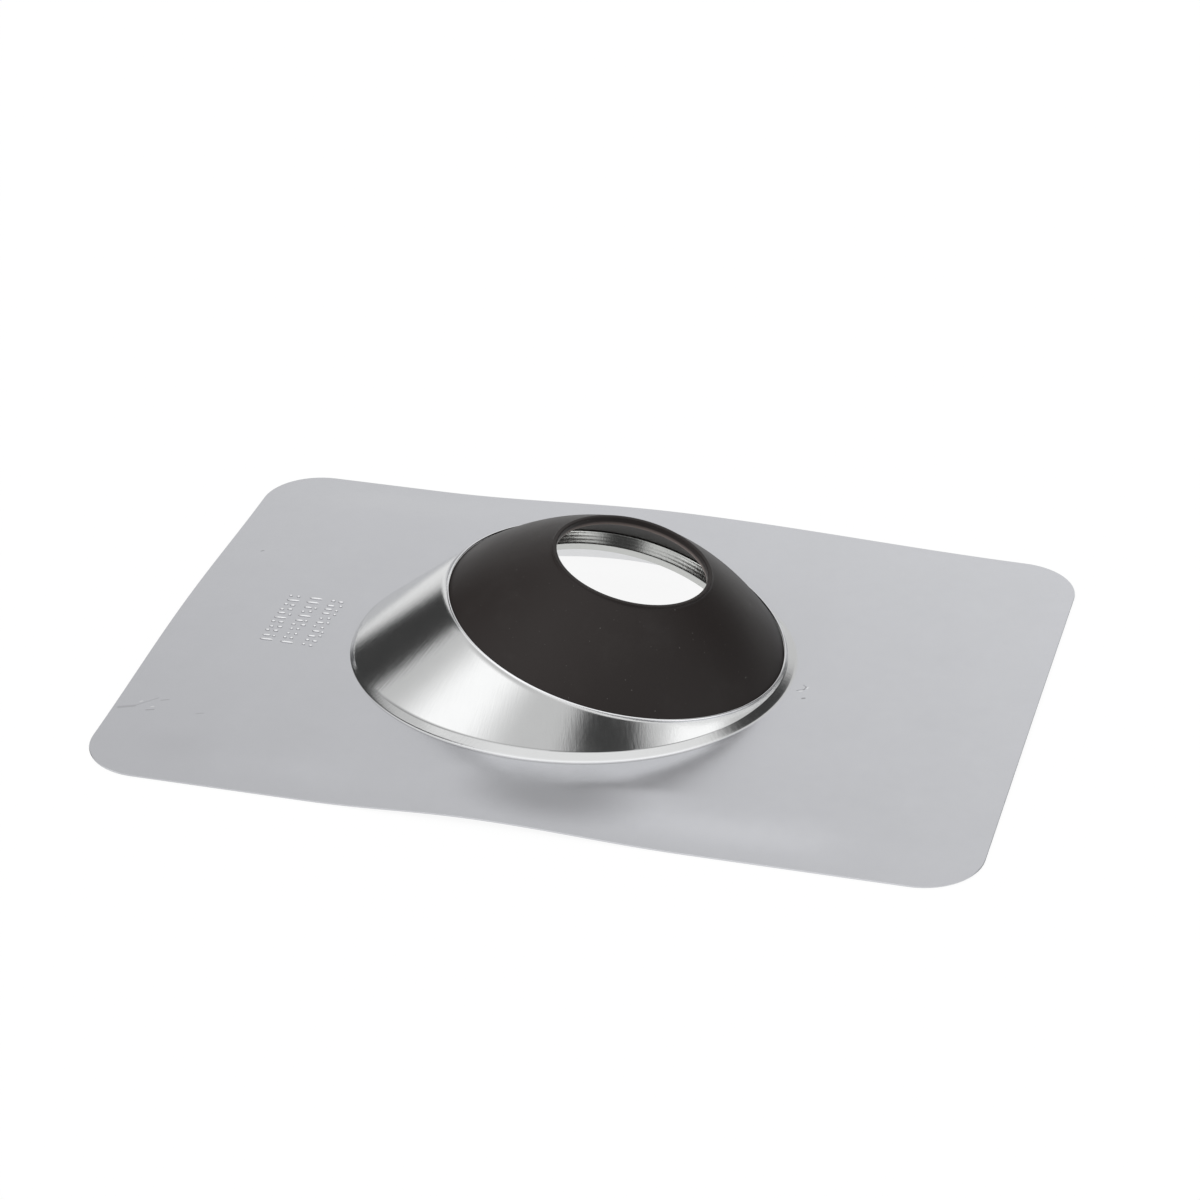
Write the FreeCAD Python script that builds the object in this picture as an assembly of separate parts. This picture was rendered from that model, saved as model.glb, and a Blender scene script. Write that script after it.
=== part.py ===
"""Pipe flashing boot: a galvanised sheet base with an oblique cone, and a moulded collar that seals a pipe.

Millimetres. X runs up the roof slope, Z is up, and z = 0 is the deck that the sheet lies on. The origin is
under the middle of the sheet. The pipe's axis leans towards +X. Round parts are drawn about it in the
collar's own frame, where z = 0 is the seam between cone and collar, and seat() sets them in place.
"""
import FreeCAD, Part
import math
import os
from FreeCAD import Matrix, Vector

# Sheet
SHEET_LENGTH = 317.5
SHEET_WIDTH = 228.6
SHEET_CORNER_RADIUS = 22.0
SHEET_THICKNESS = 0.55

# The sprung sheet stands off the deck between its four corners: under the cone, and at each edge's middle
PLATFORM_RISE = 3.45
BACK_EDGE_RISE = 4.1
FRONT_EDGE_RISE = 2.8
LEFT_EDGE_RISE = 2.9
RIGHT_EDGE_RISE = 0.4
# Each edge arches over a part of its length: where its top is, and how far it reaches to each side
BACK_ARCH_MIDDLE, BACK_ARCH_LEFT, BACK_ARCH_RIGHT = 0.0, 100.0, 146.0
FRONT_ARCH_MIDDLE, FRONT_ARCH_LEFT, FRONT_ARCH_RIGHT = -12.0, 62.0, 72.0
SIDE_ARCH_REACH = 100.0
# The flat platform reaches past the cone, and the sheet bends in so many spans from there to its edges
PLATFORM_MARGIN = 3.0
PLATFORM_SPANS = 4
EDGE_SPANS = 2

# Foot of the cone: an oval, a little longer up the slope
CONE_X = -9.0
CONE_LENGTH = 163.0
CONE_WIDTH = 154.0

# Flare round the foot, where the sheet turns up into the cone's wall
FLARE_FLANGE = 1.0
FLARE_WIDTH = 4.0
FLARE_HEIGHT = 1.7

# Seam between cone and collar: its middle, and its lean towards +X
SEAM_X = 7.4
SEAM_Z = 20.8
SEAM_TILT = 13.0

# Rim at the cone's top, rolled in over the collar's edge
RIM_RADIUS = 62.4
RIM_HEIGHT = 1.1
RIM_BEND = 0.6
RIM_LIP = 0.45

# Collar
COLLAR_EDGE_THICKNESS = 0.4
COLLAR_EDGE_CLEARANCE = 0.3
COLLAR_LIP_CLEARANCE = 0.2
SKIRT_BULGE = 1.8
COLLAR_HEIGHT = 25.3
NECK_HEIGHT = 0.9
NECK_FILLET = 1.0
PIPE_HOLE_RADIUS = 27.6
PIPE_SEAL_LENGTH = 3.2
PIPE_SEAL_THICKNESS = 1.7
PIPE_SEAL_ROUNDING = 0.45
SEAL_UNDERCUT_WIDTH = 2.8
SEAL_UNDERCUT_DEPTH = 1.3

# Steel ring under the collar's edge: a flat that seats in the rim, a cone and a band that turns down
RING_THICKNESS = 0.6
RING_FLAT = 1.5
RING_RISE = 7.0
RING_INNER_RADIUS = 46.8
RING_BEND = 0.9
RING_BAND_HEIGHT = 8.0
RING_BAND_FLARE = 0.8

PLATFORM_TOP = PLATFORM_RISE + SHEET_THICKNESS
FOOT_RADIUS = CONE_LENGTH / 2
WALL_RADIUS = FOOT_RADIUS - FLARE_WIDTH
WALL_Z = PLATFORM_TOP + FLARE_HEIGHT
OVAL_RATIO = CONE_WIDTH / CONE_LENGTH
SKIN_INSET = SHEET_THICKNESS / math.sqrt(2)

RIM_BORE = RIM_RADIUS - SHEET_THICKNESS
RIM_FOOT = SHEET_THICKNESS - RIM_HEIGHT
RIM_LIP_RADIUS = RIM_RADIUS - RIM_BEND - RIM_LIP

RING_TOP = -COLLAR_EDGE_THICKNESS
RING_CONE_START = RIM_BORE - RING_FLAT
RING_CONE_SLOPE = RING_RISE / (RING_CONE_START - RING_INNER_RADIUS)

CUT_MARGIN = 5.0

# Round stretches of a section are drawn as so many short straight runs, which keeps the facets few
FLARE_STEPS = 4
SKIRT_STEPS = 3
ROUNDING_STEPS = 1


def seat(shape):
    """Set a shape that is drawn in the collar's frame in its place on the cone."""
    seated = shape.copy()
    seated.rotate(Vector(0, 0, 0), Vector(0, 1, 0), SEAM_TILT)
    seated.translate(Vector(SEAM_X, 0, SEAM_Z))
    return seated


def oval(shape):
    """Stretch a shape that is round about Z into the cone's oval, and set it at the cone's foot."""
    stretch = Matrix()
    stretch.A22 = OVAL_RATIO
    stretched = shape.transformGeometry(stretch)
    stretched.translate(Vector(CONE_X, 0, 0))
    return stretched


def arc_points(start, middle, end, steps):
    """Points of the arc through three points, drawn as so many short straight runs."""
    return Part.Arc(start, middle, end).toShape().discretize(Number=steps + 1)


def rounded_path(corners):
    """Points of a path in the XZ plane through (radius, height) corners, rounded where a third value says."""
    points = [Vector(corner[0], 0, corner[1]) for corner in corners]
    path = []
    for index, (corner, place) in enumerate(zip(corners, points)):
        if len(corner) == 2:
            path.append(place)
            continue
        rounding = corner[2]
        back = (points[index - 1] - place).normalize()
        ahead = (points[index + 1] - place).normalize()
        half_angle = back.getAngle(ahead) / 2
        setback = rounding / math.tan(half_angle)
        middle = place + (back + ahead).normalize() * (rounding / math.sin(half_angle) - rounding)
        path += arc_points(place + back * setback, middle, place + ahead * setback, ROUNDING_STEPS)
    return path


def revolve(face):
    """Turn a section in the XZ plane about Z."""
    return face.revolve(Vector(0, 0, 0), Vector(0, 0, 1), 360)


def sheet_ring(path, thickness):
    """Turn a strip of sheet about Z: path is one skin in the XZ plane, and the sheet lies beside it."""
    skin = Part.makePolygon(path)
    strip = skin.makeOffset2D(thickness, join=2, fill=True, openResult=True)
    return revolve(strip)


def arch(place, middle, reach_down, reach_up, rise):
    """Height of a sprung edge: a smooth bump that ends at each reach."""
    reach = reach_up if place > middle else reach_down
    share = min(abs(place - middle) / reach, 1.0)
    return rise * math.cos(share * math.pi / 2) ** 2


def ease(share):
    """Blend smoothly from 0 to 1."""
    share = min(max(share, 0.0), 1.0)
    return share * share * (3 - 2 * share)


def platform_range(middle, half_size):
    """Lowest and highest place of the flat platform along one axis."""
    reach = half_size + FLARE_FLANGE + PLATFORM_MARGIN
    return middle - reach, middle + reach


def knot_places(half_sheet, platform):
    """Knots along one axis: a few spans from each edge to the platform, and the platform's own."""
    low, high = platform
    places = [-half_sheet + (low + half_sheet) * i / EDGE_SPANS for i in range(EDGE_SPANS)]
    places += [low + (high - low) * i / PLATFORM_SPANS for i in range(PLATFORM_SPANS)]
    places += [high + (half_sheet - high) * i / EDGE_SPANS for i in range(EDGE_SPANS + 1)]
    return places


def pole_places(knots):
    """Places of a clamped cubic's poles, at which a pole's height is the surface's."""
    full = [knots[0]] * 3 + knots + [knots[-1]] * 3
    return [sum(full[i + 1:i + 4]) / 3 for i in range(len(full) - 4)]


def platform_share(place, half_sheet, platform):
    """1 over the platform and the span beside it, falling to 0 at the sheet's edge."""
    low, high = platform
    bending = (EDGE_SPANS - 1) / EDGE_SPANS
    from_low_edge = (place + half_sheet) / ((low + half_sheet) * bending)
    from_high_edge = (half_sheet - place) / ((half_sheet - high) * bending)
    return ease(min(from_low_edge, from_high_edge))


def sheet_surface():
    """Underside of the sprung sheet: flat round the cone, bowed at its edges, on the deck at its corners."""
    half_length = SHEET_LENGTH / 2
    half_width = SHEET_WIDTH / 2
    platform_x = platform_range(CONE_X, CONE_LENGTH / 2)
    platform_y = platform_range(0, CONE_WIDTH / 2)
    knots_x = knot_places(half_length, platform_x)
    knots_y = knot_places(half_width, platform_y)

    def height(x, y):
        back = arch(x, BACK_ARCH_MIDDLE, BACK_ARCH_LEFT, BACK_ARCH_RIGHT, BACK_EDGE_RISE)
        front = arch(x, FRONT_ARCH_MIDDLE, FRONT_ARCH_LEFT, FRONT_ARCH_RIGHT, FRONT_EDGE_RISE)
        left = arch(y, 0, SIDE_ARCH_REACH, SIDE_ARCH_REACH, LEFT_EDGE_RISE)
        right = arch(y, 0, SIDE_ARCH_REACH, SIDE_ARCH_REACH, RIGHT_EDGE_RISE)
        to_back = (y / half_width + 1) / 2
        to_right = (x / half_length + 1) / 2
        edges = back * to_back + front * (1 - to_back) + right * to_right + left * (1 - to_right)
        share = platform_share(x, half_length, platform_x) * platform_share(y, half_width, platform_y)
        return PLATFORM_RISE * share + edges * (1 - share)

    poles = [[Vector(x, y, height(x, y)) for y in pole_places(knots_y)] for x in pole_places(knots_x)]
    surface = Part.BSplineSurface()
    surface.buildFromPolesMultsKnots(
        poles,
        [4] + [1] * (len(knots_x) - 2) + [4],
        [4] + [1] * (len(knots_y) - 2) + [4],
        knots_x,
        knots_y,
        False,
        False,
        3,
        3,
    )
    return surface


def make_platform(bottom, thickness):
    """Flat middle of the sheet, which carries the cone and lies against the deck."""
    low_x, high_x = platform_range(CONE_X, CONE_LENGTH / 2)
    low_y, high_y = platform_range(0, CONE_WIDTH / 2)
    return Part.makeBox(high_x - low_x, high_y - low_y, thickness, Vector(low_x, low_y, bottom))


def make_sheet():
    """Sprung sheet with a flat middle, round corners and the oval hole that the flare fills."""
    through = PLATFORM_TOP + 2 * CUT_MARGIN
    slab = sheet_surface().toShape().extrude(Vector(0, 0, SHEET_THICKNESS))
    slab = slab.cut(make_platform(-CUT_MARGIN, through)).fuse(make_platform(PLATFORM_RISE, SHEET_THICKNESS))
    corner = Vector(-SHEET_LENGTH / 2, -SHEET_WIDTH / 2, -CUT_MARGIN)
    outline = Part.makeBox(SHEET_LENGTH, SHEET_WIDTH, through, corner)
    upright = [edge for edge in outline.Edges if abs(edge.tangentAt(edge.FirstParameter).z) > 0.5]
    outline = outline.makeFillet(SHEET_CORNER_RADIUS, upright)
    hole = Part.makeCylinder(FOOT_RADIUS + FLARE_FLANGE, through, Vector(0, 0, -CUT_MARGIN))
    return slab.common(outline).cut(oval(hole))


def make_flare():
    """Flare round the cone's foot: a bend that leaves the sheet level and ends in the cone's slope."""
    flange_end = Vector(FOOT_RADIUS + FLARE_FLANGE, 0, PLATFORM_TOP)
    foot = Vector(FOOT_RADIUS, 0, PLATFORM_TOP)
    wall_foot = Vector(WALL_RADIUS, 0, WALL_Z)
    half_turn = math.atan2(FLARE_HEIGHT, FLARE_WIDTH)
    bend = foot.distanceToPoint(wall_foot) / (2 * math.sin(half_turn))
    middle = foot + Vector(-bend * math.sin(half_turn), 0, bend * (1 - math.cos(half_turn)))
    inner_end = Vector(WALL_RADIUS - SKIN_INSET, 0, WALL_Z)
    skin = [flange_end, *arc_points(foot, middle, wall_foot, FLARE_STEPS), inner_end]
    return oval(sheet_ring(skin, SHEET_THICKNESS))


def cone_skin(foot_inset, rim_radius, drop):
    """Solid under one skin of the cone, from the flare's oval to the rim's leaning circle."""
    foot_circle = Part.makeCircle(WALL_RADIUS - foot_inset, Vector(0, 0, WALL_Z - drop))
    rim_circle = Part.makeCircle(rim_radius, Vector(0, 0, RIM_FOOT - drop))
    return Part.makeLoft([Part.Wire(oval(foot_circle)), Part.Wire(seat(rim_circle))], True, True)


def make_cone():
    """Oblique cone wall between flare and rim."""
    skirt = Part.makeCylinder(WALL_RADIUS, SHEET_THICKNESS, Vector(0, 0, WALL_Z - SHEET_THICKNESS))
    outside = cone_skin(0, RIM_RADIUS, 0).fuse(oval(skirt))
    floor = WALL_Z - SHEET_THICKNESS
    below = Part.makeCylinder(WALL_RADIUS - SKIN_INSET, CUT_MARGIN, Vector(0, 0, floor - CUT_MARGIN))
    bore = Part.makeCylinder(RIM_BORE, CUT_MARGIN, Vector(0, 0, RIM_FOOT - SHEET_THICKNESS))
    inside = cone_skin(SKIN_INSET, RIM_BORE, SHEET_THICKNESS)
    return outside.cut(inside).cut(oval(below)).cut(seat(bore))


def make_rim():
    """Rim rolled in over the collar's edge."""
    skin = rounded_path([
        (RIM_RADIUS, RIM_FOOT),
        (RIM_RADIUS, SHEET_THICKNESS, RIM_BEND),
        (RIM_LIP_RADIUS, SHEET_THICKNESS),
    ])
    return seat(sheet_ring(skin, SHEET_THICKNESS))


def make_flashing_base():
    """Sheet, flare, cone and rim, drawn from one piece of sheet."""
    return make_sheet().multiFuse([make_flare(), make_cone(), make_rim()]).removeSplitter()


def ring_top_at(radius):
    """Height of the backing ring's cone at a radius."""
    return RING_TOP + (RING_CONE_START - radius) * RING_CONE_SLOPE


def make_backing_ring():
    """Steel ring that holds the collar's edge up against the rim's lip."""
    band_top = RING_TOP + RING_RISE
    skin = rounded_path([
        (RIM_BORE, RING_TOP),
        (RING_CONE_START, RING_TOP),
        (RING_INNER_RADIUS, band_top, RING_BEND),
        (RING_INNER_RADIUS + RING_BAND_FLARE, band_top - RING_BAND_HEIGHT),
    ])
    return seat(sheet_ring(skin, RING_THICKNESS))


def make_pipe_collar():
    """Moulded collar: an edge under the rim, a gently bulging skirt, a neck and a lip that grips the pipe."""
    edge_radius = RIM_RADIUS - RIM_BEND - COLLAR_EDGE_CLEARANCE
    neck_radius = PIPE_HOLE_RADIUS + PIPE_SEAL_THICKNESS
    skirt_foot = Vector(RIM_LIP_RADIUS - COLLAR_LIP_CLEARANCE, 0, 0)
    skirt_top = Vector(neck_radius, 0, COLLAR_HEIGHT - NECK_HEIGHT)
    skirt_run = skirt_top - skirt_foot
    outward = Vector(skirt_run.z, 0, -skirt_run.x).normalize()
    skirt_middle = (skirt_foot + skirt_top) / 2 + outward * SKIRT_BULGE
    skirt = arc_points(skirt_foot, skirt_middle, skirt_top, SKIRT_STEPS)
    seal_foot = COLLAR_HEIGHT - PIPE_SEAL_LENGTH
    inner_foot_radius = RING_INNER_RADIUS + 2 * RING_BEND
    section = rounded_path([
        (edge_radius, 0),
        *[(point.x, point.z) for point in skirt[:-1]],
        (skirt_top.x, skirt_top.z, NECK_FILLET),
        (neck_radius, COLLAR_HEIGHT, PIPE_SEAL_ROUNDING),
        (PIPE_HOLE_RADIUS, COLLAR_HEIGHT, PIPE_SEAL_ROUNDING),
        (PIPE_HOLE_RADIUS, seal_foot),
        (PIPE_HOLE_RADIUS + SEAL_UNDERCUT_WIDTH, seal_foot - SEAL_UNDERCUT_DEPTH),
        (inner_foot_radius, ring_top_at(inner_foot_radius)),
        (RING_CONE_START, RING_TOP),
        (edge_radius, RING_TOP),
    ])
    return seat(revolve(Part.Face(Part.makePolygon(section + section[:1]))))


def main():
    """Write one STEP file for each piece."""
    os.makedirs("parts", exist_ok=True)
    pieces = {
        "flashing_base": make_flashing_base(),
        "backing_ring": make_backing_ring(),
        "pipe_collar": make_pipe_collar(),
    }
    for name, shape in pieces.items():
        shape.exportStep(f"parts/{name}.step")
        box = shape.BoundBox
        print(name, shape.ShapeType, len(shape.Solids), "solids", round(shape.Volume), "mm3,",
              [round(v, 2) for v in (box.XMin, box.XMax, box.YMin, box.YMax, box.ZMin, box.ZMax)])


main()
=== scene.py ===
"""Looks of a pipe flashing boot: a galvanised sheet with an oblique cone, and a collar that seals a pipe.

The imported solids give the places. Each piece is drawn again here with its finer roundings, on the same
driving sizes, and gets its finish. Lengths in the classes are millimetres; meshes are made in metres.
"""
from __future__ import annotations

import logging
import math
import random
from dataclasses import dataclass, field, fields
from enum import Enum
from typing import Any, Iterable, Mapping, Sequence

import bpy
import numpy as np
from mathutils import Matrix, Vector

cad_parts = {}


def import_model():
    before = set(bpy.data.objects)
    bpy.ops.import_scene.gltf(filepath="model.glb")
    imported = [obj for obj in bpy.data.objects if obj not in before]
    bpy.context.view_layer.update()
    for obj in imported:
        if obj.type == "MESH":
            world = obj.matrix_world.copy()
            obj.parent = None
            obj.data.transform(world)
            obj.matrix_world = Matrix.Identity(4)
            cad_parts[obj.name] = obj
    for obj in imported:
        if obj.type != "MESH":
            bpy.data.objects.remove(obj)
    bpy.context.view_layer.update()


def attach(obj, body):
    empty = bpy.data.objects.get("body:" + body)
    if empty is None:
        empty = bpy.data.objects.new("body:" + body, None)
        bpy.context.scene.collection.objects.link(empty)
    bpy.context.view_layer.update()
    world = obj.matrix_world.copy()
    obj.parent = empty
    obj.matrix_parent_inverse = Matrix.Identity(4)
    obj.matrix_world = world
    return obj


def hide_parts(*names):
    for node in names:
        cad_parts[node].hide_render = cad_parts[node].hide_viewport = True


Pair = tuple[float, float]
Triple = tuple[float, float, float]
Rgba = tuple[float, float, float, float]

MM = 0.001
ROOT_BODY = "root"

log = logging.getLogger("flashing")


# Shader maths


class Value:
    """One output of a node, on which Python's operators add Math nodes."""

    def __init__(self, shader: Shader, socket: bpy.types.NodeSocket) -> None:
        """Wrap an output socket of a shader's tree."""
        self.shader = shader
        self.socket = socket

    def _math(self, operation: str, *values: Value | float) -> Value:
        """Add a Math node."""
        return self.shader.node("ShaderNodeMath", {"operation": operation}, dict(enumerate(values)))

    def __add__(self, other: Value | float) -> Value:
        """Sum."""
        return self._math("ADD", self, other)

    __radd__ = __add__

    def __sub__(self, other: Value | float) -> Value:
        """Difference."""
        return self._math("SUBTRACT", self, other)

    def __rsub__(self, other: float) -> Value:
        """Difference, from a number."""
        return self._math("SUBTRACT", other, self)

    def __mul__(self, other: Value | float) -> Value:
        """Product."""
        return self._math("MULTIPLY", self, other)

    __rmul__ = __mul__

    def __truediv__(self, other: Value | float) -> Value:
        """Quotient."""
        return self._math("DIVIDE", self, other)

    def root(self) -> Value:
        """Square root."""
        return self._math("SQRT", self)

    def clamped(self) -> Value:
        """The value held between 0 and 1."""
        return self._math("MAXIMUM", self._math("MINIMUM", self, 1.0), 0.0)

    def ramp(self, low: float, high: float) -> Value:
        """0 up to low, 1 from high, smooth between; falling if low is the greater."""
        ranged = {"Value": self, "From Min": low, "From Max": high}
        return self.shader.node("ShaderNodeMapRange", {"interpolation_type": "SMOOTHSTEP"}, ranged)


class Shader:
    """A node tree that is filled by expressions."""

    def __init__(self, tree: bpy.types.NodeTree) -> None:
        """Clear a tree."""
        self.tree = tree
        tree.nodes.clear()

    def add(
        self, kind: str, settings: Mapping[str, Any] | None = None, inputs: Mapping[Any, Any] | None = None
    ) -> bpy.types.Node:
        """Add a node.

        Args:
            kind: the node's type name.
            settings: its properties, set first.
            inputs: for each socket, by name or place, a number, a colour or a Value to link.

        Returns:
            The new node.
        """
        node = self.tree.nodes.new(kind)
        for name, setting in (settings or {}).items():
            setattr(node, name, setting)
        for name, value in (inputs or {}).items():
            if isinstance(value, Value):
                self.tree.links.new(value.socket, node.inputs[name])
            else:
                node.inputs[name].default_value = value
        return node

    def node(
        self,
        kind: str,
        settings: Mapping[str, Any] | None = None,
        inputs: Mapping[Any, Any] | None = None,
        output: int | str = 0,
    ) -> Value:
        """Add a node and return one of its outputs. The arguments are those of add, and the output's name."""
        return Value(self, self.add(kind, settings, inputs).outputs[output])

    def attribute(self, name: str, output: str = "Fac") -> Value:
        """A value stored on the mesh's points."""
        return self.node("ShaderNodeAttribute", {"attribute_name": name}, output=output)

    def place(self) -> Value:
        """The point's place on the object, in metres."""
        return self.node("ShaderNodeTexCoord", output="Object")

    def split(self, vector: Value) -> list[Value]:
        """The three parts of a vector."""
        node = self.add("ShaderNodeSeparateXYZ", inputs={0: vector})
        return [Value(self, output) for output in node.outputs]

    def scaled(self, vector: Value, factors: Sequence[float]) -> Value:
        """A vector times a factor for each axis."""
        return self.node("ShaderNodeVectorMath", {"operation": "MULTIPLY"}, {0: vector, 1: tuple(factors)})

    def noise(self, vector: Value, scale: float, detail: float = 2.0, roughness: float = 0.5) -> Value:
        """Smooth noise from 0 to 1."""
        inputs = {"Vector": vector, "Scale": scale, "Detail": detail, "Roughness": roughness}
        return self.node("ShaderNodeTexNoise", inputs=inputs)

    def mix(self, share: Value | float, first: Any, second: Any) -> Value:
        """A colour between two colours."""
        inputs = {0: share, 6: first, 7: second}
        return self.node("ShaderNodeMix", {"data_type": "RGBA"}, inputs, output=2)

    def bump(self, height: Value, distance: float, normal: Value | None = None) -> Value:
        """A normal that leans with a height.

        Args:
            height: the height, from 0 to 1.
            distance: how deep it is, in metres.
            normal: the normal that it adds to, if not the mesh's.

        Returns:
            The leaning normal.
        """
        inputs: dict[str, Any] = {"Height": height, "Distance": distance, "Strength": 1.0}
        if normal is not None:
            inputs["Normal"] = normal
        return self.node("ShaderNodeBump", inputs=inputs)


def new_material(name: str) -> tuple[bpy.types.Material, Shader]:
    """Make a material with an empty tree.

    Args:
        name: the material's name.

    Returns:
        The material and its shader.
    """
    material = bpy.data.materials.new(name)
    material.use_nodes = True
    return material, Shader(material.node_tree)


def grey(level: float) -> Rgba:
    """A neutral colour."""
    return (level, level, level, 1.0)


def rgba(colour: Sequence[float]) -> Rgba:
    """A colour with full alpha."""
    return (colour[0], colour[1], colour[2], 1.0)


# Finishes


@dataclass(frozen=True)
class Mark:
    """A short mark on the sheet, from one point to another in millimetres."""

    start: Pair
    end: Pair
    width: float
    strength: float

    def mask(self, x: Value, y: Value) -> Value:
        """1 on the mark, falling to 0 beside it.

        Args:
            x: place along the sheet in millimetres.
            y: place across the sheet in millimetres.

        Returns:
            The mark's share at the point.
        """
        run_x = self.end[0] - self.start[0]
        run_y = self.end[1] - self.start[1]
        length_squared = run_x * run_x + run_y * run_y
        along = (((x - self.start[0]) * run_x + (y - self.start[1]) * run_y) / length_squared).clamped()
        off_x = x - self.start[0] - along * run_x
        off_y = y - self.start[1] - along * run_y
        distance = (off_x * off_x + off_y * off_y).root()
        return distance.ramp(self.width, 0.0) * self.strength


@dataclass(frozen=True)
class Shade:
    """A painted shade: a soft oval darkening of the sheet, in millimetres, for the cone's dark reflection in
    the sheet.
    """

    centre: Pair
    reach: Pair
    depth: float

    def mask(self, x: Value, y: Value) -> Value:
        """How far the painted shade darkens a point of the sheet.

        Args:
            x: place along the sheet in millimetres.
            y: place across the sheet in millimetres.

        Returns:
            The share of the tone that it takes, up to its depth.
        """
        along = (x - self.centre[0]) / self.reach[0]
        across = (y - self.centre[1]) / self.reach[1]
        return (along * along + across * across).root().ramp(1.0, 0.2) * self.depth


@dataclass(frozen=True)
class ZincFinish:
    """Galvanised sheet: a matt zinc coat, burnished where the die has drawn it, with painted shade in its
    creases and painted highlights.
    """

    sheet_colour: Triple = (0.695, 0.702, 0.732)
    sheet_metal: float = 0.85
    drawn_colour: Triple = (0.74, 0.745, 0.745)
    # The colour of painted highlights.
    painted_highlight_colour: Triple = (0.97, 0.975, 0.99)
    stain_colour: Triple = (0.30, 0.30, 0.31)
    # Painted shade: how far the flare's creases at the front are darkened.
    crease_shade_depth: float = 0.62
    front: Pair = (-38.0, -58.0)
    sheet_roughness: float = 0.22
    drawn_roughness: float = 0.15
    roughness_spread: float = 0.16
    drawn_spread: float = 0.14
    glint_polish: float = 0.3
    cloud_scale: float = 38.0
    blotch_scale: float = 210.0
    grain_scale: float = 2600.0
    rolled_scale: Triple = (14.0, 900.0, 900.0)
    draw_line_scale: Triple = (90.0, 90.0, 0.5)
    mottle_shares: Triple = (0.5, 0.35, 0.15)
    mottle_depth: float = 0.05
    grain_share: float = 0.6
    grain_depth: float = 0.000006
    draw_line_depth: float = 0.000025
    # Painted shading: the flat sheet grows lighter towards its right and its back.
    painted_shading_run: Pair = (0.45, 0.6)
    shade: Shade | None = None
    marks: tuple[Mark, ...] = ()
    # Marks painted as highlights.
    painted_highlights: tuple[Mark, ...] = ()

    def make(self, name: str) -> bpy.types.Material:
        """Build the material.

        Args:
            name: the material's name.

        Returns:
            The new material.
        """
        material, shader = new_material(name)
        place = shader.place()
        x, y, _ = shader.split(shader.scaled(place, (1 / MM,) * 3))
        drawn = shader.attribute("drawn")
        in_front = y.ramp(*self.front)
        # Painted shade in the flare's creases, at the front only.
        painted_crease_shade = shader.attribute("painted_crease_shade") * in_front
        # Painted highlight: all round from the rings, and at the front only for the flare's bend.
        painted_highlight = shader.attribute("painted_highlight") + shader.attribute("painted_front_highlight") * in_front
        around = shader.attribute("around", "Vector")

        cloud = shader.noise(place, self.cloud_scale, 4.0, 0.6)
        blotch = shader.noise(place, self.blotch_scale, 3.0, 0.6)
        grain = shader.noise(place, self.grain_scale, 2.0, 0.6)
        rolled = shader.noise(shader.scaled(place, self.rolled_scale), 1.0, 2.0)
        draw_lines = shader.noise(shader.scaled(around, self.draw_line_scale), 1.0, 4.0, 0.7)

        cloud_share, blotch_share, fine_share = self.mottle_shares
        mottle = cloud * cloud_share + blotch * blotch_share + grain * fine_share
        tone = 1.0 - self.mottle_depth + mottle * (2 * self.mottle_depth)
        # Painted shading across the flat sheet, lighter towards the right and the back.
        slope = x * (self.painted_shading_run[0] * MM) + y * (self.painted_shading_run[1] * MM)
        tone = tone * (1.0 + slope * (1.0 - drawn)) * (1.0 - painted_crease_shade * self.crease_shade_depth)
        # Painted shade in front of the cone.
        if self.shade is not None:
            tone = tone * (1.0 - self.shade.mask(x, y))
        stain = sum((mark.mask(x, y) for mark in self.marks), drawn * 0.0)
        # Painted highlights from the rings and the highlight marks turn the colour towards near white.
        bright = sum((mark.mask(x, y) for mark in self.painted_highlights), painted_highlight)
        base = shader.mix(drawn, rgba(self.sheet_colour), rgba(self.drawn_colour))
        base = shader.mix(bright.clamped(), base, rgba(self.painted_highlight_colour))
        toned = shader.node(
            "ShaderNodeVectorMath", {"operation": "SCALE"}, {0: base, "Scale": tone}, output="Vector"
        )
        colour = shader.mix(stain.clamped(), toned, rgba(self.stain_colour))

        sheet_roughness = self.sheet_roughness + (mottle - 0.5) * self.roughness_spread
        drawn_roughness = self.drawn_roughness + (draw_lines - 0.5) * self.drawn_spread
        roughness = sheet_roughness + (drawn_roughness - sheet_roughness) * drawn
        roughness = roughness * (1.0 - painted_highlight * self.glint_polish)
        metal = self.sheet_metal + drawn * (1.0 - self.sheet_metal)
        sheet_height = (grain * self.grain_share + rolled * (1.0 - self.grain_share)) * (1.0 - drawn)
        fine = shader.bump(sheet_height, self.grain_depth)
        normal = shader.bump(draw_lines * drawn, self.draw_line_depth, fine)
        surface = shader.node(
            "ShaderNodeBsdfPrincipled",
            inputs={"Base Color": colour, "Metallic": metal, "Roughness": roughness, "Normal": normal},
        )
        shader.add("ShaderNodeOutputMaterial", inputs={"Surface": surface})
        return material


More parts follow.
